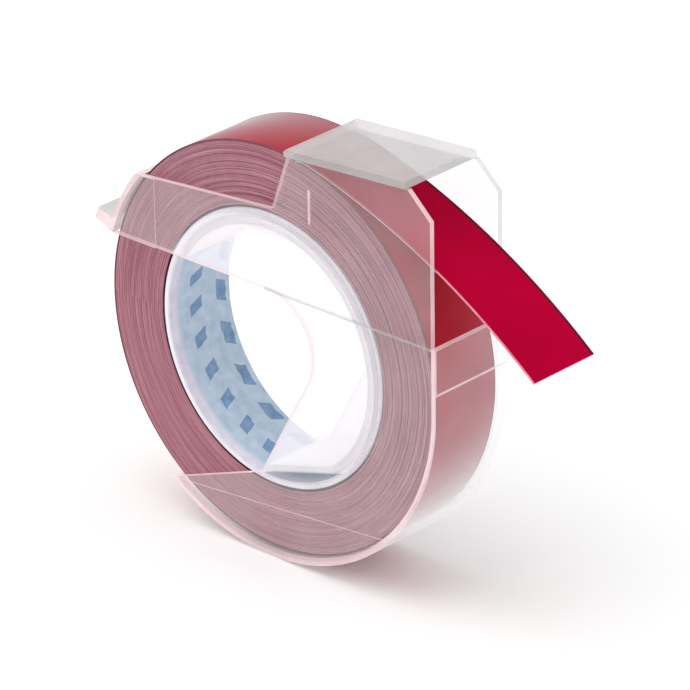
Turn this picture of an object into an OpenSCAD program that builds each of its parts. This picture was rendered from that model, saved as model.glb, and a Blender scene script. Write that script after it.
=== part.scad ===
// Tape cartridge for an embossing label maker: a roll of plastic embossing
// tape, held in a clear two-part case that leaves its free end open.
// Frame: the roll's axis is Y, its centre is the origin, the tape leaves
// towards +X, and +Z is up. The cover plate is on the -Y side.

/* [Tape roll] */
// Width of the tape
tape_w = 9; // [6:0.5:12]
// Outer diameter of the full roll
roll_d = 45; // [41:0.5:56]
// Diameter of the hole in the middle of the roll
hole_d = 29; // [24:0.5:36]
// Wall of the ring that the tape is wound on
core_t = 0.6; // [0.4:0.05:1.2]
// Thickness of the printed paper band inside the ring
print_t = 0.15; // [0.1:0.05:0.3]
// Thickness of the plastic tape
vinyl_t = 0.18; // [0.12:0.01:0.3]
// Thickness of the backing paper under the tape
liner_t = 0.09; // [0.06:0.01:0.15]

/* [Free end of the tape] */
// Angle above the X axis at which the tape leaves the roll
leave_angle = 76; // [70:1:80]
// Radius of the curl that the free end keeps
curl_r = 78; // [60:1:120]
// Length of the free end
tail_len = 33.6; // [20:0.2:60]
// Gap between the free end and the roll where it leaves
leave_gap = 0.08; // [0.04:0.01:0.2]

/* [Case walls] */
// Thickness of the two side plates
plate_t = 0.6; // [0.4:0.1:1.2]
// Gap between the roll's side and a plate
side_gap = 0.25; // [0.1:0.05:0.6]
// Gap between the roll and the rim
rim_gap = 0.2; // [0.2:0.05:0.8]
// Thickness of the rim
rim_t = 0.6; // [0.5:0.05:1.5]
// Gap between the cover plate's edge and the rim that it sits in
seat_gap = 0.05; // [0.03:0.01:0.15]
// Height of the rim's upper end on the exit side
rim_top_z = 7.3; // [3:0.1:10]
// Height of the thicker band below the rim's upper end
rim_band_h = 5.1; // [1:0.1:7]
// How far that band stands out of the rim
rim_band_t = 0.1; // [0.05:0.05:0.5]
// Height of the sloped foot of that band
rim_foot_h = 0.35; // [0.1:0.05:1]

/* [Roof over the exit] */
// Thickness of the roof
roof_t = 0.8; // [0.5:0.1:1.5]
// Gap between the roll and the roof's rear end
roof_gap = 0.3; // [0.2:0.05:0.8]
// Distance from the roll's axis to the roof's rear end
roof_start_x = 3.4; // [2:0.1:6]
// Rise of the roof towards the exit, in degrees
roof_slope = 4; // [0:0.5:8]
// Distance that the plates reach past the roof at the exit
roof_setback = 3.3; // [2:0.1:5]
// Size of the 45 degree cut on the plates' upper corners
corner_cut = 2.9; // [1:0.1:4]

/* [Side plate outline] */
// Height of the lower edge of the arm across the roll
arm_low_z = 7.1; // [5:0.1:9]
// Height of the arm's upper edge on the roll's axis
arm_top_z = 16.2; // [13:0.1:17]
// Rise of the arm's upper edge, in degrees
arm_slope = 5; // [0:0.5:8]
// Distance from the roll's axis to the foot of the cheek at the arm
cheek_foot_x = 1.2; // [0:0.1:3]
// Radius of the window's round upper end
window_r = 6.2; // [4:0.1:8]
// Distance from the roll's axis to the middle of that round end
window_x = 0.15; // [-1:0.05:1]
// Corner of the lower tab, along X
tab_corner_x = -1; // [-3:0.1:1]
// Corner of the lower tab, along Z
tab_corner_z = -14; // [-15:0.1:-11]
// Rise of the lower tab's upper edge, in degrees
tab_slope = 20.5; // [10:0.5:30]
// Radius of the rounded corner between that edge and the window
tab_fillet = 1.2; // [0.4:0.1:2]

/* [Hub that the roll runs on] */
// Gap between the hole of the roll and the hub
hub_gap = 0.4; // [0.2:0.05:1]
// Thickness of the hub's wall
hub_t = 0.6; // [0.4:0.05:1.2]
// Rise of the hub's flat side from the tab's corner, in degrees
hub_flat_slope = 16.5; // [10:0.5:25]

/* [Raised marks on the cover] */
// Height of the raised areas and ribs on the cover plate
step_t = 0.15; // [0.05:0.05:0.3]
// Height of the lower raised area's edge on the roll's axis
step_z = -17.5; // [-19:0.1:-16]
// Rise of that edge, in degrees
step_slope = 4.8; // [0:0.2:8]
// Distance from the roll's axis to the inner edge of the arm's end pad
pad_x = 15.3; // [12:0.1:18]
// Distance from the roll's axis to the short rib near the exit
rib_x = 6.5; // [5:0.1:9]
// Length of the short rib
rib_len = 3.7; // [2:0.1:5]
// Width of the short rib, and of the line that carries on the arm's edge
rib_w = 0.25; // [0.2:0.05:1]

/* [Lip at the rear end] */
// How far the lip stands out of the rear wall
lip_len = 2.1; // [1:0.1:3]
// Thickness of the lip
lip_t = 1.4; // [0.8:0.1:2]

/* [Hidden] */
$fn = 96;

// A distance larger than the whole cartridge, for shapes that only cut.
far = 100;
// Overlap that joins two shapes of one piece without a seam.
weld = 0.02;

roll_r = roll_d / 2;
hole_r = hole_d / 2;
turn_t = vinyl_t + liner_t;
core_in_r = hole_r + print_t;
core_out_r = core_in_r + core_t;
pack_r = roll_r - turn_t;

face_in = tape_w / 2 + side_gap;
face_out = face_in + plate_t;
rim_in = roll_r + rim_gap;
rim_out = rim_in + rim_t;
cover_r = rim_in - seat_gap;
hub_r = hole_r - hub_gap;

// The roof's underside starts clear of the roll and rises towards the exit.
roof_start_z = sqrt(roll_r * roll_r - roof_start_x * roof_start_x) + roof_gap;
roof_end_x = rim_in - roof_setback;
function roof_under(x) = roof_start_z + (x - roof_start_x) * tan(roof_slope);
function arm_top(x) = arm_top_z + x * tan(arm_slope);
function tab_edge(x) = tab_corner_z + (x - tab_corner_x) * tan(tab_slope);
function step_edge(x) = step_z + x * tan(step_slope);

// The straight side of the window touches its round upper end.
window_z = arm_low_z - window_r;
corner_run = norm([window_x - tab_corner_x, window_z - tab_corner_z]);
corner_dir = atan2(window_z - tab_corner_z, window_x - tab_corner_x);
side_dir = corner_dir - asin(window_r / corner_run);
touch_x = window_x + window_r * sin(side_dir);
touch_z = window_z - window_r * cos(side_dir);

// The rounded corner touches the window's side and the tab's upper edge.
tab_dir = 180 + tab_slope;
fillet_half = (tab_dir - side_dir) / 2;
fillet_reach = tab_fillet / tan(fillet_half);

// The lip stands at the lower end of the rear wall.
lip_dir = 180 - asin(arm_low_z / rim_in) - asin(lip_t / 2 / rim_in);

// The free end is an arc about a centre below the roll, and leaves the
// roll at a tangent.
curl_x = (roll_r + leave_gap - curl_r) * cos(leave_angle);
curl_z = (roll_r + leave_gap - curl_r) * sin(leave_angle);
tail_turn = tail_len / curl_r * 180 / PI;

// Stands a shape drawn in X and Z up, between two values of Y.
module upright(y_low, y_high) {
    translate([0, y_high, 0])
        rotate([90, 0, 0])
            linear_extrude(height = y_high - y_low)
                children();
}

// A ring about the roll's axis, as wide as the tape.
module tape_ring(r_in, r_out) {
    rotate([90, 0, 0])
        rotate_extrude()
            translate([r_in, -tape_w / 2])
                square([r_out - r_in, tape_w]);
}

// The whole side of the case: a disc, and a block under the roof.
module full_side(r, side_x) {
    circle(r = r);
    polygon([
        [0, 0],
        [side_x, 0],
        [side_x, roof_under(side_x) - corner_cut],
        [side_x - corner_cut, roof_under(side_x - corner_cut)],
        [roof_start_x, roof_start_z],
        [0, roof_start_z - roof_gap]
    ]);
}

// The part above the arm that is left open, up to the cheek.
module upper_opening() {
    polygon([
        [-far, arm_top(-far)],
        [cheek_foot_x, arm_top(cheek_foot_x)],
        [roof_start_x, roof_start_z],
        [roof_start_x, far],
        [-far, far]
    ]);
}

// The part below the arm that is left open, with the window in it.
module lower_opening() {
    translate([window_x, window_z])
        circle(r = window_r);
    polygon([
        [-far, arm_low_z],
        [window_x, arm_low_z],
        [window_x, window_z],
        [touch_x, touch_z],
        [tab_corner_x, tab_corner_z],
        [-far, tab_edge(-far)]
    ]);
}

// What rounds the corner of the lower opening at the tab.
module tab_corner() {
    translate([tab_corner_x, tab_corner_z])
        difference() {
            polygon([
                [0, 0],
                fillet_reach * [cos(side_dir), sin(side_dir)],
                fillet_reach * [cos(tab_dir), sin(tab_dir)]
            ]);
            rotate(side_dir + fillet_half)
                translate([tab_fillet / sin(fillet_half), 0])
                    circle(r = tab_fillet);
        }
}

// The outline that both side plates share.
module plate_outline(r, side_x) {
    difference() {
        full_side(r, side_x);
        upper_opening();
        difference() {
            lower_opening();
            tab_corner();
        }
    }
}

// A ring section with the thickness of the rim.
module rim_ring() {
    difference() {
        circle(r = rim_out);
        circle(r = rim_in);
    }
}

// The rim, from the lower tab round the bottom to the exit side.
module lower_rim() {
    intersection() {
        rim_ring();
        polygon([
            [-far, tab_edge(-far)],
            [tab_corner_x, tab_corner_z],
            [tab_corner_x, 0],
            [far, 0],
            [far, -far],
            [-far, -far]
        ]);
    }
    translate([rim_in, -weld])
        square([rim_t, rim_top_z + weld]);
    polygon([
        [rim_in, rim_top_z - rim_band_h],
        [rim_out, rim_top_z - rim_band_h],
        [rim_out + rim_band_t, rim_top_z - rim_band_h + rim_foot_h],
        [rim_out + rim_band_t, rim_top_z],
        [rim_in, rim_top_z]
    ]);
}

// The wall that closes the arm's rear end, with its lip.
module rear_wall() {
    intersection() {
        rim_ring();
        polygon([
            [-far, arm_low_z],
            [0, arm_low_z],
            [0, arm_top(0)],
            [-far, arm_top(-far)]
        ]);
    }
    rotate(lip_dir)
        translate([rim_in + rim_t / 2, -lip_t / 2])
            square([rim_t / 2 + lip_len, lip_t]);
}

// The roof over the exit, with a rounded rear end. Where it grows out of
// the rear plate, its root reaches a little into that plate.
module roof(root = 0) {
    end_r = roof_t / 2;
    roof_run = (roof_end_x - roof_start_x) / cos(roof_slope);
    translate([roof_start_x, roof_start_z])
        rotate(roof_slope) {
            translate([0, end_r])
                circle(r = end_r);
            translate([0, -root])
                square([roof_run, roof_t + root]);
        }
}

// The rear side plate: the shared outline, carried out to the rim.
module rear_outline() {
    plate_outline(rim_in + weld, rim_in);
    lower_rim();
    rear_wall();
    roof(root = weld);
}

// The space inside the hub: round, with a flat side below. The inset moves
// both sides in by the hub's wall.
module hub_space(inset = 0) {
    intersection() {
        circle(r = hub_r - inset);
        translate([tab_corner_x, tab_corner_z])
            rotate(hub_flat_slope)
                translate([-far, inset])
                    square([2 * far, far]);
    }
}

// The hub's wall, as far round as the side plates reach.
module hub_wall() {
    intersection() {
        difference() {
            hub_space();
            hub_space(inset = hub_t);
        }
        plate_outline(cover_r, cover_r);
    }
}

module rear_shell() {
    color("gainsboro", 0.4) {
        upright(-face_in, face_in + weld)
            hub_wall();
        upright(face_in, face_out)
            rear_outline();
        upright(-face_out, face_in + weld) {
            lower_rim();
            rear_wall();
            roof();
        }
    }
}

// Areas of the cover plate that stand a little above the rest.
module raised_areas() {
    intersection() {
        plate_outline(cover_r, cover_r);
        polygon([
            [-far, step_edge(-far)],
            [far, step_edge(far)],
            [far, -far],
            [-far, -far]
        ]);
    }
    intersection() {
        plate_outline(cover_r, cover_r);
        translate([-far - pad_x, 0])
            square([far, far]);
    }
    translate([rib_x - rib_w / 2, arm_top_z])
        square([rib_w, rib_len]);
    translate([window_x, arm_low_z])
        square([cover_r - window_x, rib_w]);
}

module front_plate() {
    color("gainsboro", 0.4) {
        upright(-face_out, -face_in)
            plate_outline(cover_r, cover_r);
        upright(-face_out - step_t, -face_out + weld)
            raised_areas();
    }
}

module core_ring() {
    color("white")
        tape_ring(core_in_r, core_out_r);
}

module printed_band() {
    color("lightsteelblue")
        tape_ring(hole_r, core_in_r);
}

module wound_tape() {
    color("firebrick")
        tape_ring(core_out_r, pack_r);
}

module outer_turn() {
    color("crimson")
        tape_ring(pack_r, roll_r);
}

// A strip of the free end, between two radii of its curl.
module tail_strip(r_in, r_out) {
    translate([curl_x, 0, curl_z])
        rotate([90, 0, 0])
            rotate([0, 0, leave_angle - tail_turn])
                rotate_extrude(angle = tail_turn)
                    translate([r_in, -tape_w / 2])
                        square([r_out - r_in, tape_w]);
}

module tape_end() {
    color("crimson")
        tail_strip(curl_r + liner_t, curl_r + turn_t);
}

module end_liner() {
    color("ivory")
        tail_strip(curl_r, curl_r + liner_t);
}

rear_shell();
front_plate();
core_ring();
printed_band();
wound_tape();
outer_turn();
tape_end();
end_liner();
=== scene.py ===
import math

import bmesh
import bpy
from mathutils import Matrix, Vector


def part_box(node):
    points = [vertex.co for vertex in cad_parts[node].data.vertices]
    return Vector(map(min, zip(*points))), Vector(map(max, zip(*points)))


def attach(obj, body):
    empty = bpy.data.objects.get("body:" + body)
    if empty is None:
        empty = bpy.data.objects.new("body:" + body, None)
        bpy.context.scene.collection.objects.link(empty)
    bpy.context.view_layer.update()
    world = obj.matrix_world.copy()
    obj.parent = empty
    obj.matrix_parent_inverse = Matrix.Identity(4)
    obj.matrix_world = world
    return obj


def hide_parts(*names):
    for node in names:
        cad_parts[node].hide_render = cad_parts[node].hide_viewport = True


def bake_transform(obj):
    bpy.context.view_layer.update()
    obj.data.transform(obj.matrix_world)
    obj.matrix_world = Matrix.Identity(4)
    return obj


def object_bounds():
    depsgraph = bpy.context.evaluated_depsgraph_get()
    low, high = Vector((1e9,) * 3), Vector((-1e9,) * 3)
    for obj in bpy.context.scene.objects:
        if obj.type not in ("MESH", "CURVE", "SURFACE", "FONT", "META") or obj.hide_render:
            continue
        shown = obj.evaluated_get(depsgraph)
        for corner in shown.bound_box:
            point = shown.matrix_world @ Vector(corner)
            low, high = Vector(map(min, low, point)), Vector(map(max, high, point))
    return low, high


# The frame: the roll's axis is Y, its centre is the origin, the tape leaves
# towards +X and +Z is up. The cover plate is on the -Y side.
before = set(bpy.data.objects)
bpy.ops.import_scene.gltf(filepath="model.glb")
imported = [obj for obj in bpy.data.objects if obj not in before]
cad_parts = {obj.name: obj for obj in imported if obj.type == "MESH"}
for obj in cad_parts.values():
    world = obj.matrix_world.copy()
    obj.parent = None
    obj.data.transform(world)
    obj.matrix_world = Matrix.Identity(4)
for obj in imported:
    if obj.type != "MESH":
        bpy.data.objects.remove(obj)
cad_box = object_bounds()

MM = 0.001


def reach(node):
    """How far a CAD node reaches along X, Y and Z, in millimetres."""
    return [round(v / MM, 3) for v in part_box(node)[1]]


# The roll of tape, in millimetres. Each ring reaches its radius along X.
ROLL_R, TAPE_EDGE, _ = reach("outer_turn")
CORE_OUT_R = reach("core_ring")[0]
CORE_IN_R = reach("printed_band")[0]
PRINT_T = 0.15
HOLE_R = CORE_IN_R - PRINT_T
# A turn is plastic tape on its backing paper.
TURN_T = ROLL_R - reach("wound_tape")[0]
LINER_T = 0.09
TURNS = round((ROLL_R - CORE_OUT_R) / TURN_T)
# The paper's edge lies this far below the tape's.
PAPER_SUNK = 0.09
# The first turn lies slack beside the core, this much below the others.
SLACK = 0.6
# How many flat faces stand for a full circle.
CIRCLE_STEPS = 240

# The free end: an arc that keeps the curl of the roll. Its centre lies on the
# line from the point where the tape leaves through the roll's axis. It is past
# the axis, so its distance from it, CURL_REACH, is negative.
LEAVE_ANGLE = math.radians(76.0)
LEAVE_GAP = 0.08
CURL_R = 78.0
CURL_REACH = ROLL_R + LEAVE_GAP - CURL_R
TAIL_LEN = 33.6
TAIL_TURN = TAIL_LEN / CURL_R
# It is bent in TAIL_STEPS equal steps. The strip also runs back over the roll
# for LAID_STEPS more, and sinks into the outer turn as it goes. It would be
# LAID_DEPTH below the roll's face after LAID_SHARE of the free end's length.
TAIL_STEPS = 60
LAID_STEPS = 10
LAID_SHARE = 0.2
LAID_DEPTH = 0.05
# Inside the case the strip's near edge lies in shade, up to this X; there it
# takes the painted shade finish.
SHADED_TO_X = 22.5
# Width of the painted shade line where the tape's far edge curls over.
SHADE_LINE_W = 0.4

# A side plate lies between FACE_IN and FACE_OUT from the middle, and the hub's
# wall ends at the cover's inner face. A face counts as lying there when it is
# less than NEAR away.
FACE_IN = -reach("front_plate")[1]
FACE_OUT = reach("rear_shell")[1]
NEAR = 0.05
# A face narrower than this is the cut edge of a wall.
EDGE_W = 0.9
# The wall that closes the arm has its faces behind the first X, and its outer
# side and its lip lie behind the second.
ARM_WALL_X = -17.0
ARM_OUTER_X = -21.5
# The roof's narrow edges lie above this Z.
ROOF_EDGE_Z = ROLL_R + 0.5
# The shallow line on the cover carries on the arm's lower edge.
ARM_LOW_Z = 7.1
LINE_W = 0.25
LINE_Z = ARM_LOW_Z + LINE_W / 2

# The milky disc on the plates, and how softly its outline ends. Below, it ends
# at the hub's flat side, which rises from the corner of the lower tab.
DISC_R = 15.1
DISC_FADE = 0.3
FLAT_FADE = 0.15
TAB_CORNER = Vector((-1.0, 0.0, -14.0))
FLAT_SLOPE = math.radians(16.5)

# Finishes of a moulding's faces: clear, a wall's narrow edge at the front,
# frosted by a textured insert, the etched hub, and a greyer narrow edge.
CLEAR, EDGE, FROSTED, HUB, GREY_EDGE = range(5)
# Finishes of the roll.
TURN_SIDE, PAPER_SIDE, OUTER_FACE, PAINTED_SHADE_SIDE = range(4)
# Finishes of a strip of the free end.
STRIP_FACE, STRIP_SIDE, STRIP_PAINTED_SHADE = range(3)

# Sockets of a colour mix: its share, its two colours, and its result.
SHARE, FIRST, SECOND, MIXED = 0, 6, 7, 2


def linear(hexcode):
    """Turns an sRGB hex colour into the linear RGBA that a shader takes."""
    parts = [int(hexcode[i : i + 2], 16) / 255 for i in (1, 3, 5)]
    return tuple(
        p / 12.92 if p <= 0.04045 else ((p + 0.055) / 1.055) ** 2.4 for p in parts
    ) + (1.0,)


# --- materials ---------------------------------------------------------------


def material(name):
    """An empty node material and its tree."""
    mat = bpy.data.materials.new(name)
    mat.use_nodes = True
    mat.node_tree.nodes.clear()
    return mat, mat.node_tree


def add(tree, kind, sockets=None, ramp=None, **settings):
    """Adds a node. A node or an output given to a socket is linked to it, and
    any other value is set. Sockets go by name, or by number where several
    have the same name. A ramp is a list of (place, colour)."""
    node = tree.nodes.new("ShaderNode" + kind)
    for name, value in settings.items():
        setattr(node, name, value)
    if ramp:
        stops = node.color_ramp.elements
        while len(stops) < len(ramp):
            stops.new(1.0)
        for stop, (place, colour) in zip(stops, ramp):
            stop.position = place
            stop.color = colour
    for name, value in (sockets or {}).items():
        if isinstance(value, bpy.types.Node):
            value = value.outputs[0]
        if isinstance(value, bpy.types.NodeSocket):
            tree.links.new(value, node.inputs[name])
        else:
            node.inputs[name].default_value = value
    return node


def axis_distance(tree, place):
    """The distance from the roll's axis in millimetres, and the same point as
    a vector across that axis."""
    across = add(
        tree, "VectorMath", {0: place, 1: (1 / MM, 0.0, 1 / MM)}, operation="MULTIPLY"
    )
    radius = add(tree, "VectorMath", {0: across}, operation="LENGTH")
    return radius.outputs["Value"], across


def axis_angle(tree, place):
    """The angle round the roll's axis, in radians from +X."""
    xyz = add(tree, "SeparateXYZ", {0: place})
    return add(
        tree,
        "Math",
        {0: xyz.outputs["Z"], 1: xyz.outputs["X"]},
        operation="ARCTAN2",
    )


def over_the_hole(tree, place):
    """1 on the milky disc over the roll's hole, and 0 on the rest of a plate."""
    radius, across = axis_distance(tree, place)
    inside = add(
        tree,
        "MapRange",
        {"Value": radius, "From Min": DISC_R, "From Max": DISC_R - DISC_FADE},
    )
    up = Vector((-math.sin(FLAT_SLOPE), 0.0, math.cos(FLAT_SLOPE)))
    flat = up.dot(TAB_CORNER)
    height = add(
        tree, "VectorMath", {0: across, 1: up}, operation="DOT_PRODUCT"
    ).outputs["Value"]
    above = add(
        tree,
        "MapRange",
        {"Value": height, "From Min": flat, "From Max": flat + FLAT_FADE},
    )
    return add(tree, "Math", {0: inside, 1: above}, operation="MULTIPLY")


def clear_styrene(name, haze, tint, gloss, painted_glow=0.0, disc=0.0):
    """Clear polystyrene, injection moulded and a little cloudy: what is
    behind shows through a thin white veil, thicker at a glancing angle. There
    the veil is partly the haze and partly a painted reflection of the white
    room. The glow is painted light: a constant white emission for the light
    that the cloudy melt passes on from behind. The disc over the roll's hole
    is etched in the mould and may be milkier than the rest."""
    mat, tree = material(name)
    place = add(tree, "TexCoord").outputs["Object"]
    # The melt leaves broad cloudy streaks about 6 mm apart.
    flow = add(tree, "TexNoise", {"Vector": place, "Scale": 0.16 / MM, "Detail": 3})
    veil = add(
        tree,
        "MapRange",
        {
            "Value": flow,
            "From Min": 0.3,
            "From Max": 0.7,
            "To Min": haze * 0.8,
            "To Max": haze * 1.2,
        },
    )
    colour = linear(tint)
    if disc:
        milky = over_the_hole(tree, place)
        veil = add(
            tree, "Math", {0: milky, 1: disc, 2: veil}, operation="MULTIPLY_ADD"
        )
        whiter = add(
            tree,
            "Mix",
            {SHARE: milky, FIRST: colour, SECOND: linear("#F8F6FA")},
            data_type="RGBA",
        )
        colour = whiter.outputs[MIXED]
    # Towards a glancing angle the veil thickens: partly haze, partly a painted reflection of the
    # white room.
    facing = add(tree, "LayerWeight", {"Blend": 0.5}).outputs["Facing"]
    glance = add(tree, "Math", {0: facing, 1: 4.0}, operation="POWER")
    opacity = add(
        tree,
        "Math",
        {0: glance, 1: 0.95, 2: veil},
        operation="MULTIPLY_ADD",
        use_clamp=True,
    )
    # Handling leaves a fine satin wear, in grains of about 0.8 mm.
    wear = add(tree, "TexNoise", {"Vector": place, "Scale": 1.2 / MM, "Detail": 4})
    rough = add(
        tree, "MapRange", {"Value": wear, "To Min": gloss, "To Max": gloss + 0.12}
    )
    ripple = add(
        tree, "Bump", {"Height": flow, "Strength": 0.15, "Distance": 0.4 * MM}
    )
    surface = add(
        tree,
        "BsdfPrincipled",
        {
            "Base Color": colour,
            "Roughness": rough,
            "IOR": 1.59,
            "Alpha": opacity,
            "Normal": ripple,
            # Painted glow: a white emission, though the plastic is no lamp.
            "Emission Color": linear("#FFFFFF"),
            "Emission Strength": painted_glow,
        },
    )
    add(tree, "OutputMaterial", {"Surface": surface})
    return mat


def wound_edges(name, dark, middle, light):
    """The cut edges of the wound vinyl tape: dull wine red, with long fine
    streaks round the roll where the turns lie a little proud or sunk. The
    streaks are a real relief in the bump, and their colour, darker where
    they lie low and lighter where they stand high, is painted shade and light."""
    mat, tree = material(name)
    place = add(tree, "TexCoord").outputs["Object"]
    # Radially a streak is one or two turns wide, and round the roll it runs
    # for about a tenth of a circle.
    radius, _ = axis_distance(tree, place)
    across = add(tree, "Math", {0: radius, 1: 2.6}, operation="MULTIPLY")
    along = add(
        tree, "Math", {0: axis_angle(tree, place), 1: 1.6}, operation="MULTIPLY"
    )
    streak_at = add(tree, "CombineXYZ", {0: across, 1: along, 2: 0.0})
    streak = add(tree, "TexNoise", {"Vector": streak_at, "Scale": 1.0, "Detail": 5})
    # Painted shade and light: the low streaks darker, the high ones lighter.
    colour = add(
        tree,
        "ValToRGB",
        {"Fac": streak},
        ramp=[(0.3, linear(dark)), (0.5, linear(middle)), (0.7, linear(light))],
    )
    relief = add(
        tree, "Bump", {"Height": streak, "Strength": 0.25, "Distance": 0.1 * MM}
    )
    surface = add(
        tree,
        "BsdfPrincipled",
        {
            "Base Color": colour,
            "Roughness": 0.55,
            "IOR": 1.54,
            "Specular IOR Level": 0.25,
            "Normal": relief,
        },
    )
    add(tree, "OutputMaterial", {"Surface": surface})
    return mat


def paper_edges(name, dark, light):
    """The cut edges of the backing paper: matt, in two colours that a fine
    noise mixes. Colours given darker or pinker than the paper itself are
    painted light: painted shade on the roll, a painted highlight on the free end.
    """
    mat, tree = material(name)
    place = add(tree, "TexCoord").outputs["Object"]
    # Real fibres are too fine to show, so they are drawn about 1 mm apart.
    fibre = add(tree, "TexNoise", {"Vector": place, "Scale": 0.9 / MM, "Detail": 3})
    colour = add(
        tree,
        "ValToRGB",
        {"Fac": fibre},
        ramp=[(0.3, linear(dark)), (0.7, linear(light))],
    )
    surface = add(
        tree,
        "BsdfPrincipled",
        {"Base Color": colour, "Roughness": 0.85, "IOR": 1.5},
    )
    add(tree, "OutputMaterial", {"Surface": surface})
    return mat


def vinyl(name, light, dark, painted_sheen, shine, rough_from):
    """Plasticised PVC embossing tape, calendered: deep red right through with
    an even, soft gloss. At a glancing angle the colour turns to a greyish
    painted sheen: a painted reflection of the white room."""
    mat, tree = material(name)
    place = add(tree, "TexCoord").outputs["Object"]
    # Colour drifts over about 8 mm, and the calender's grain is about 0.7 mm.
    drift = add(tree, "TexNoise", {"Vector": place, "Scale": 0.12 / MM, "Detail": 2})
    grain = add(tree, "TexNoise", {"Vector": place, "Scale": 1.4 / MM, "Detail": 2})
    colour = add(
        tree,
        "ValToRGB",
        {"Fac": drift},
        ramp=[(0.3, linear(dark)), (0.7, linear(light))],
    )
    # Painted sheen: towards a glancing angle the colour is mixed with the sheen colour, as the
    # white room's reflection would show.
    facing = add(tree, "LayerWeight", {"Blend": 0.5}).outputs["Facing"]
    glance = add(tree, "Math", {0: facing, 1: 3.0}, operation="POWER")
    sheen_painted = add(
        tree,
        "Mix",
        {SHARE: glance, FIRST: colour, SECOND: linear(painted_sheen)},
        data_type="RGBA",
    )
    rough = add(
        tree,
        "MapRange",
        {"Value": grain, "To Min": rough_from, "To Max": rough_from + 0.12},
    )
    relief = add(
        tree, "Bump", {"Height": grain, "Strength": 0.08, "Distance": 0.05 * MM}
    )
    surface = add(
        tree,
        "BsdfPrincipled",
        {
            "Base Color": sheen_painted.outputs[MIXED],
            "Roughness": rough,
            "IOR": 1.54,
            "Specular IOR Level": shine,
            "Normal": relief,
        },
    )
    add(tree, "OutputMaterial", {"Surface": surface})
    return mat


def backing_paper():
    """Siliconed backing paper, glazed: off-white with a faint waxy sheen."""
    mat, tree = material("siliconed_backing_paper")
    place = add(tree, "TexCoord").outputs["Object"]
    # Real fibres are too fine to show, so they are drawn about 1.4 mm apart.
    fibre = add(tree, "TexNoise", {"Vector": place, "Scale": 0.7 / MM, "Detail": 5})
    colour = add(
        tree,
        "ValToRGB",
        {"Fac": fibre},
        ramp=[(0.35, linear("#E6E2DC")), (0.65, linear("#F3F1EC"))],
    )
    relief = add(
        tree, "Bump", {"Height": fibre, "Strength": 0.1, "Distance": 0.05 * MM}
    )
    surface = add(
        tree,
        "BsdfPrincipled",
        {"Base Color": colour, "Roughness": 0.5, "IOR": 1.47, "Normal": relief},
    )
    add(tree, "OutputMaterial", {"Surface": surface})
    return mat


def white_core():
    """White polypropylene core, extruded: soft and waxy at its cut ends."""
    mat, tree = material("extruded_white_polypropylene")
    place = add(tree, "TexCoord").outputs["Object"]
    # The melt clouds over about 3 mm, and light creeps 0.4 mm into it.
    cloud = add(tree, "TexNoise", {"Vector": place, "Scale": 0.3 / MM, "Detail": 3})
    colour = add(
        tree,
        "ValToRGB",
        {"Fac": cloud},
        ramp=[(0.3, linear("#E9E4EA")), (0.7, linear("#F7F4F8"))],
    )
    surface = add(
        tree,
        "BsdfPrincipled",
        {
            "Base Color": colour,
            "Roughness": 0.4,
            "IOR": 1.49,
            "Subsurface Weight": 0.1,
            "Subsurface Radius": (0.4 * MM, 0.4 * MM, 0.4 * MM),
        },
    )
    add(tree, "OutputMaterial", {"Surface": surface})
    return mat


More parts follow.
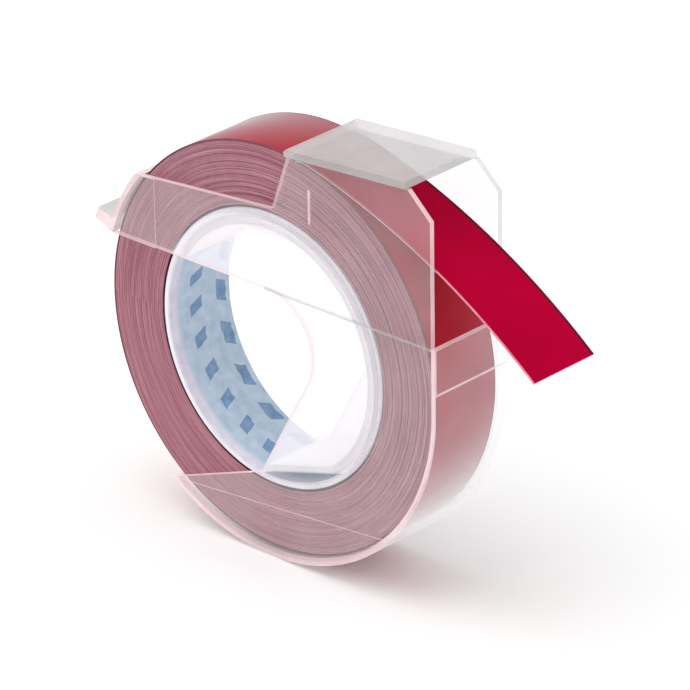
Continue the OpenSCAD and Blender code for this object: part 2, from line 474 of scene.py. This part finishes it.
def printed_paper():
    """Coated paper with an offset print: a narrow bare margin at the front,
    then a pale blue ground with two rows of plain bars in a darker blue."""
    mat, tree = material("offset_printed_coated_paper")
    place = add(tree, "TexCoord").outputs["Object"]
    turn = axis_angle(tree, place)
    depth = add(tree, "SeparateXYZ", {0: place}).outputs["Y"]
    width = add(tree, "Math", {0: depth, 1: 1 / MM}, operation="MULTIPLY")
    # The ink spreads unevenly into the paper, in spots of about 1 mm.
    blotch = add(tree, "TexNoise", {"Vector": place, "Scale": 0.9 / MM, "Detail": 4})
    spread = add(
        tree, "Math", {0: blotch, 1: 0.7, 2: -0.35}, operation="MULTIPLY_ADD"
    )
    ragged = add(tree, "Math", {0: width, 1: spread}, operation="ADD")
    rows = []
    # Each row: its lowest and highest line across the band in millimetres,
    # its bars round the hole, the inked share of each, and its lean.
    for low, high, bars, share, lean in (
        (-1.5, 0.3, 26, 0.38, 0.12),
        (2.5, 3.9, 19, 0.5, -0.1),
    ):
        count = add(
            tree, "Math", {0: turn, 1: bars / (2 * math.pi)}, operation="MULTIPLY"
        )
        slant = add(
            tree, "Math", {0: ragged, 1: lean, 2: count}, operation="MULTIPLY_ADD"
        )
        saw = add(tree, "Math", {0: slant}, operation="FRACT")
        bar = add(tree, "Math", {0: saw, 1: share}, operation="LESS_THAN")
        over = add(tree, "Math", {0: ragged, 1: low}, operation="GREATER_THAN")
        under = add(tree, "Math", {0: ragged, 1: high}, operation="LESS_THAN")
        between = add(tree, "Math", {0: over, 1: under}, operation="MULTIPLY")
        rows.append(add(tree, "Math", {0: between, 1: bar}, operation="MULTIPLY"))
    ink = add(tree, "Math", {0: rows[0], 1: rows[1]}, operation="MAXIMUM")
    # Where the ground begins, its ink thins out over half a millimetre.
    ground = add(
        tree, "MapRange", {"Value": ragged, "From Min": -3.6, "From Max": -3.0}
    )
    paper, pale, dark = (
        add(
            tree,
            "ValToRGB",
            {"Fac": blotch},
            ramp=[(0.3, linear(deeper)), (0.7, linear(lighter))],
        )
        for deeper, lighter in (
            ("#D2D2E2", "#E4E3EE"),
            ("#ACC4D9", "#C3D8E7"),
            ("#6A8DB4", "#86A6C6"),
        )
    )
    base = add(
        tree, "Mix", {SHARE: ground, FIRST: paper, SECOND: pale}, data_type="RGBA"
    )
    printed = add(
        tree,
        "Mix",
        {SHARE: ink, FIRST: base.outputs[MIXED], SECOND: dark},
        data_type="RGBA",
    )
    surface = add(
        tree,
        "BsdfPrincipled",
        {
            "Base Color": printed.outputs[MIXED],
            "Roughness": 0.45,
            "IOR": 1.5,
            "Specular IOR Level": 0.3,
        },
    )
    add(tree, "OutputMaterial", {"Surface": surface})
    return mat


def studio_floor():
    """Matt white paper sweep."""
    mat, tree = material("matt_white_sweep")
    surface = add(
        tree,
        "BsdfPrincipled",
        {"Base Color": linear("#FFFFFF"), "Roughness": 0.9},
    )
    add(tree, "OutputMaterial", {"Surface": surface})
    return mat


# --- meshes ------------------------------------------------------------------


def new_object(name, bm, mats):
    """Links a finished mesh with its materials."""
    mesh = bpy.data.meshes.new(name)
    bm.normal_update()
    bm.to_mesh(mesh)
    bm.free()
    ob = bpy.data.objects.new(name, mesh)
    bpy.context.scene.collection.objects.link(ob)
    for m in mats:
        mesh.materials.append(m)
    return ob


def narrow(face):
    """How wide a face is across its short way: twice its area over its
    outline."""
    return 2 * face.calc_area() / sum(e.calc_length() for e in face.edges)


def finish_of(face):
    """The finish of a moulding's face, from where it lies and how narrow it
    is. Textured inserts in the mould frost the roof's flat faces and the
    arm's rear end, and the hub is etched all over."""
    at = face.calc_center_median() / MM
    along_axis = abs(face.normal.y) > 0.5
    if at.x < ARM_OUTER_X:
        return FROSTED
    if narrow(face) < EDGE_W * MM:
        if abs(at.y + FACE_IN) < NEAR:
            return HUB
        at_rear = at.y > TAPE_EDGE
        on_cover = at.y < -FACE_OUT + NEAR
        on_line = on_cover and at.x > 0 and abs(at.z - LINE_Z) < LINE_W
        on_roof = at.z > ROOF_EDGE_Z and at.x > 0
        return GREY_EDGE if at_rear or on_line or on_roof else EDGE
    if at.z > ROLL_R and abs(face.normal.z) > 0.9:
        return FROSTED
    if at.x < ARM_WALL_X and not along_axis:
        return FROSTED
    if math.hypot(at.x, at.z) < HOLE_R and not along_axis:
        return HUB
    return CLEAR


def moulded(name, node, mats, corner):
    """A moulding with the CAD node's shape and small rounded edges, whose
    corners have the given width in millimetres."""
    bm = bmesh.new()
    bm.from_mesh(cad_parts[node].data)
    bmesh.ops.remove_doubles(bm, verts=bm.verts, dist=1e-6)
    bmesh.ops.dissolve_limit(
        bm, angle_limit=math.radians(0.5), verts=bm.verts, edges=bm.edges
    )
    for f in bm.faces:
        f.smooth = True
        f.material_index = finish_of(f)
    ob = new_object(name, bm, mats)
    ob.data.set_sharp_from_angle(angle=math.radians(30))
    rounding = ob.modifiers.new("rounding", "BEVEL")
    rounding.width = corner * MM
    rounding.segments = 2
    rounding.limit_method = "ANGLE"
    rounding.angle_limit = math.radians(30)
    rounding.harden_normals = True
    return ob


def skinned(name, rows, mats, closed):
    """A mesh over rows of points, each a closed outline. A row is a list of
    (point in millimetres, finish of the face to the next point). Closed rows
    come back to the first one, and open rows get a cap at each end."""
    bm = bmesh.new()
    loops = [[bm.verts.new(point * MM) for point, _ in row] for row in rows]
    pairs = list(zip(rows, loops, loops[1:]))
    if closed:
        pairs.append((rows[-1], loops[-1], loops[0]))
    for row, here, there in pairs:
        for i, (_, finish) in enumerate(row):
            k = (i + 1) % len(row)
            f = bm.faces.new((here[i], here[k], there[k], there[i]))
            f.material_index = finish
            f.smooth = True
    if not closed:
        for loop in (loops[0], loops[-1]):
            bm.faces.new(loop).material_index = STRIP_SIDE
    bmesh.ops.recalc_face_normals(bm, faces=bm.faces)
    ob = new_object(name, bm, mats)
    ob.data.set_sharp_from_angle(angle=math.radians(35))
    return ob


def off_axis(radius, angle, y=0.0):
    """A point at a distance from the roll's axis and an angle above +X."""
    return Vector((radius * math.cos(angle), y, radius * math.sin(angle)))


def lathe(name, profile, mats):
    """Turns a closed profile about the roll's axis. The profile is a list of
    (radius, y, wobble, finish): the wobble shifts that point along Y as it
    goes round, and the finish is that of the face to the next point."""
    rows = []
    for j in range(CIRCLE_STEPS):
        a = 2 * math.pi * j / CIRCLE_STEPS
        rows.append([(off_axis(r, a, y + wobble(a)), m) for r, y, wobble, m in profile])
    return skinned(name, rows, mats, closed=True)


def turn_wobble(i, side):
    """How far turn i of the roll stands out of its side, all the way round."""
    lift = 0.05 * math.sin(2.4 * i + side)
    swing = 0.025 + 0.015 * math.sin(1.3 * i)
    return lambda a: side * (lift + swing * math.sin(a + 0.9 * i))


def wound_roll():
    """The section through the turns of tape and paper, each a little proud or
    sunk at the sides, and through the outer turn's glossy face."""
    # Each point of a side: its radius, its depth below the tape's edge, its
    # turn, and the finish of the face to the next point outwards.
    side = []
    for i in range(TURNS):
        # The first turn lies slack, in shadow beside the core, and the last
        # one is pulled hard, so that its edge is rounded. Both edges take the
        # darker finish, which is painted shade: the first for its shadow, the
        # last for its rounded edge turned away from the light.
        is_first = i == 0
        is_last = i == TURNS - 1
        sunk = SLACK if is_first else 0.0
        paper = PAINTED_SHADE_SIDE if is_first else PAPER_SIDE
        tape = PAINTED_SHADE_SIDE if is_first or is_last else TURN_SIDE
        # The paper's edge is flat, and the tape's has rounded corners.
        r = CORE_OUT_R + i * TURN_T
        side += [
            (r + 0.004, PAPER_SUNK + sunk, i, paper),
            (r + LINER_T, PAPER_SUNK + sunk, i, tape),
            (r + LINER_T + 0.01, 0.02 + sunk, i, tape),
            (r + LINER_T + 0.04, sunk, i, tape),
            (r + TURN_T - 0.03, sunk, i, tape),
        ]
        if is_last:
            side.append((ROLL_R - 0.03, 0.03, i, PAINTED_SHADE_SIDE))
            side.append((ROLL_R, 0.1, i, OUTER_FACE))
        else:
            side.append((r + TURN_T - 0.001, 0.025, i, tape))
    front = [(r, depth - TAPE_EDGE, turn_wobble(i, -1), m) for r, depth, i, m in side]
    # At the rear the section runs inwards, so a point's face is the one that
    # the next point in starts at the front. The last face lies on the core.
    inwards = [m for _, _, _, m in side[-2::-1]] + [PAPER_SIDE]
    rear = [
        (r, TAPE_EDGE - depth, turn_wobble(i, 1), m)
        for (r, depth, i, _), m in zip(reversed(side), inwards)
    ]
    return front + rear


def ring(r_in, r_out, corner):
    """The section of a plain ring of the tape's width with cut corners."""
    h, c = TAPE_EDGE, corner
    corners = [
        (r_in, -h + c),
        (r_in + c, -h),
        (r_out - c, -h),
        (r_out, -h + c),
        (r_out, h - c),
        (r_out - c, h),
        (r_in + c, h),
        (r_in, h - c),
    ]
    return [(r, y, lambda a: 0.0, 0) for r, y in corners]


def tail_point(s, lift):
    """A point of the free end, s from 0 where the tape peels off the roll to
    1 at its tip, lift above the underside of the paper. Before 0 the strip
    lies down on the roll."""
    turn = LEAVE_ANGLE - s * TAIL_TURN
    if s < 0:
        sunk = (LEAVE_GAP + TURN_T + LAID_DEPTH) * min(1.0, -s / LAID_SHARE) ** 2
        return off_axis(ROLL_R + LEAVE_GAP + lift - sunk, turn)
    return off_axis(CURL_REACH, LEAVE_ANGLE) + off_axis(CURL_R + lift, turn)


def strip(name, low, high, mats, corner):
    """A strip of the free end between two heights above its underside."""
    h, c = TAPE_EDGE, corner
    section = [
        (-h, low + c, STRIP_SIDE),
        (-h, high - c, STRIP_SIDE),
        (-h + c, high, STRIP_FACE),
        (h - SHADE_LINE_W, high, STRIP_PAINTED_SHADE),
        (h - c, high, STRIP_SIDE),
        (h, high - c, STRIP_SIDE),
        (h, low + c, STRIP_SIDE),
        (h - c, low, STRIP_FACE),
        (-h + c, low, STRIP_SIDE),
    ]
    rows = []
    for j in range(-LAID_STEPS, TAIL_STEPS + 1):
        s = j / TAIL_STEPS
        row = [(tail_point(s, lift) + Vector((0, y, 0)), m) for y, lift, m in section]
        # Inside the case the near edge takes the painted shade finish.
        if row[0][0].x < SHADED_TO_X:
            row[0] = (row[0][0], STRIP_PAINTED_SHADE)
        rows.append(row)
    return skinned(name, rows, mats, closed=False)


# --- the cartridge -----------------------------------------------------------

# The narrow edges are a thick veil, as light runs a long way through the haze
# there. The front edges are also tinted pink and glow faintly: painted light,
# for the red of the tape behind them that they pass on; the others don't.
clear = clear_styrene(
    "moulded_clear_polystyrene", haze=0.086, tint="#F1EFF2", gloss=0.14, painted_glow=0.11, disc=0.33
)
edge = clear_styrene(
    "moulded_polystyrene_edge", haze=0.62, tint="#FBDDE2", gloss=0.3, painted_glow=0.05
)
grey_edge = clear_styrene(
    "moulded_polystyrene_rear_edge", haze=0.45, tint="#C6CACA", gloss=0.3
)
frosted = clear_styrene(
    "spark_textured_polystyrene", haze=0.47, tint="#CDC8C9", gloss=0.4
)
hub = clear_styrene("etched_hub_polystyrene", haze=0.75, tint="#EFEEF5", gloss=0.4)
case_finishes = [clear, edge, frosted, hub, grey_edge]

shell = moulded("case_shell", "rear_shell", case_finishes, 0.08)
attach(shell, "cartridge")
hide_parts("rear_shell")

cover = moulded("cover_plate", "front_plate", case_finishes, 0.05)
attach(cover, "cartridge")
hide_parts("front_plate")

turn_side = wound_edges("slit_vinyl_edges", "#985A68", "#B07482", "#C38D99")
# A darker copy of the slit edges: painted shade, for the first and last turns.
painted_shade_side = wound_edges("vinyl_edge_painted_shade", "#5A2634", "#6C3342", "#824657")
# Mauve, far darker than the paper: painted shade where the paper's edges lie sunk between the
# turns.
paper_side = paper_edges("slit_paper_edges", "#A97A85", "#C69BA3")
# The third colour is a painted sheen, the white room's reflection at a glancing angle.
outer_face = vinyl(
    "calendered_red_vinyl", "#B21A32", "#A01429", "#B7A0A5", shine=0.05, rough_from=0.28
)
roll_finishes = [turn_side, paper_side, outer_face, painted_shade_side]
roll = lathe("wound_roll", wound_roll(), roll_finishes)
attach(roll, "roll")
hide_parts("wound_tape", "outer_turn")

core = lathe("core", ring(CORE_IN_R, CORE_OUT_R, 0.1), [white_core()])
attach(core, "roll")
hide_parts("core_ring")

band = lathe("paper_band", ring(HOLE_R, CORE_IN_R, 0.02), [printed_paper()])
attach(band, "roll")
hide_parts("printed_band")

face = vinyl(
    "calendered_red_vinyl_face", "#B60032", "#AC002E", "#B60032", shine=0.01, rough_from=0.4
)
# Pale pink on the strips' near edges is a painted highlight, the lit copy of the edge; inside the
# case the edge takes the painted shade.
pink_side = paper_edges("slit_edge_painted_highlight", "#E27287", "#F09AA9")
# Painted shade: a darker red for the strip's faces that lie in shade.
painted_shade_vinyl = vinyl(
    "strip_vinyl_painted_shade", "#74102F", "#640A26", "#74102F", shine=0.03, rough_from=0.5
)
top_strip = strip("tape_strip", LINER_T, TURN_T, [face, pink_side, painted_shade_vinyl], 0.03)
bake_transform(top_strip)
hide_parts("tape_end")

paper = backing_paper()
low_strip = strip("backing_strip", 0.0, LINER_T, [paper, pink_side, paper], 0.015)
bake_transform(low_strip)
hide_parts("end_liner")

# --- studio ------------------------------------------------------------------

# The floor reaches 3 m each way, and the cartridge stands on it on its rim.
bm = bmesh.new()
bmesh.ops.create_grid(bm, x_segments=1, y_segments=1, size=3.0)
floor = new_object("floor", bm, [studio_floor()])
floor.location.z = cad_box[0][2]


def towards(azimuth, elevation):
    """The direction from the cartridge to what stands at these degrees round
    from the cover's side and above the floor."""
    a, e = math.radians(azimuth), math.radians(elevation)
    return Vector((math.sin(a) * math.cos(e), -math.cos(a) * math.cos(e), math.sin(e)))


def softbox(name, azimuth, elevation, distance, size, power):
    """A square area light that faces the cartridge, in metres and watts."""
    lamp = bpy.data.lights.new(name, "AREA")
    lamp.size = size
    lamp.energy = power
    back = towards(azimuth, elevation)
    ob = bpy.data.objects.new(name, lamp)
    ob.location = back * distance
    ob.rotation_mode = "QUATERNION"
    ob.rotation_quaternion = back.to_track_quat("Z", "Y")
    bpy.context.scene.collection.objects.link(ob)


softbox("key_light", azimuth=-30, elevation=68, distance=1.5, size=1.2, power=8.0)

# The white room, which also lights the cartridge from all round.
world = bpy.data.worlds.new("studio")
world.use_nodes = True
room = world.node_tree.nodes["Background"]
room.inputs["Color"].default_value = linear("#FFFFFF")
room.inputs["Strength"].default_value = 0.84
bpy.context.scene.world = world
bpy.context.scene.view_settings.view_transform = "Standard"


def stand_camera(azimuth, elevation, tilt, distance, focal, aside, below):
    """A long lens in front of the cover and above it, on the exit side. It
    looks at a point a little aside of the roll's centre, in millimetres, and
    is tilted about its own line of sight."""
    t = math.radians(tilt)
    back = towards(azimuth, elevation)
    right = Vector((0, 0, 1)).cross(back).normalized()
    up = back.cross(right)
    right, up = (
        right * math.cos(t) + up * math.sin(t),
        up * math.cos(t) - right * math.sin(t),
    )
    place = back * distance
    ahead = (right * aside - up * below - place).normalized()
    right = ahead.cross(up).normalized()
    up = right.cross(ahead)
    lens = bpy.data.cameras.new("camera")
    lens.lens = focal
    lens.sensor_width = 36.0
    lens.clip_start = 0.01
    lens.clip_end = 20.0
    ob = bpy.data.objects.new("camera", lens)
    ob.location = place * MM
    ob.rotation_mode = "QUATERNION"
    ob.rotation_quaternion = Matrix((right, up, -ahead)).transposed().to_quaternion()
    bpy.context.scene.collection.objects.link(ob)
    bpy.context.scene.camera = ob


stand_camera(
    azimuth=43.37, elevation=25.2, tilt=-1.02, distance=591.8, focal=300.9, aside=4.48, below=1.02
)
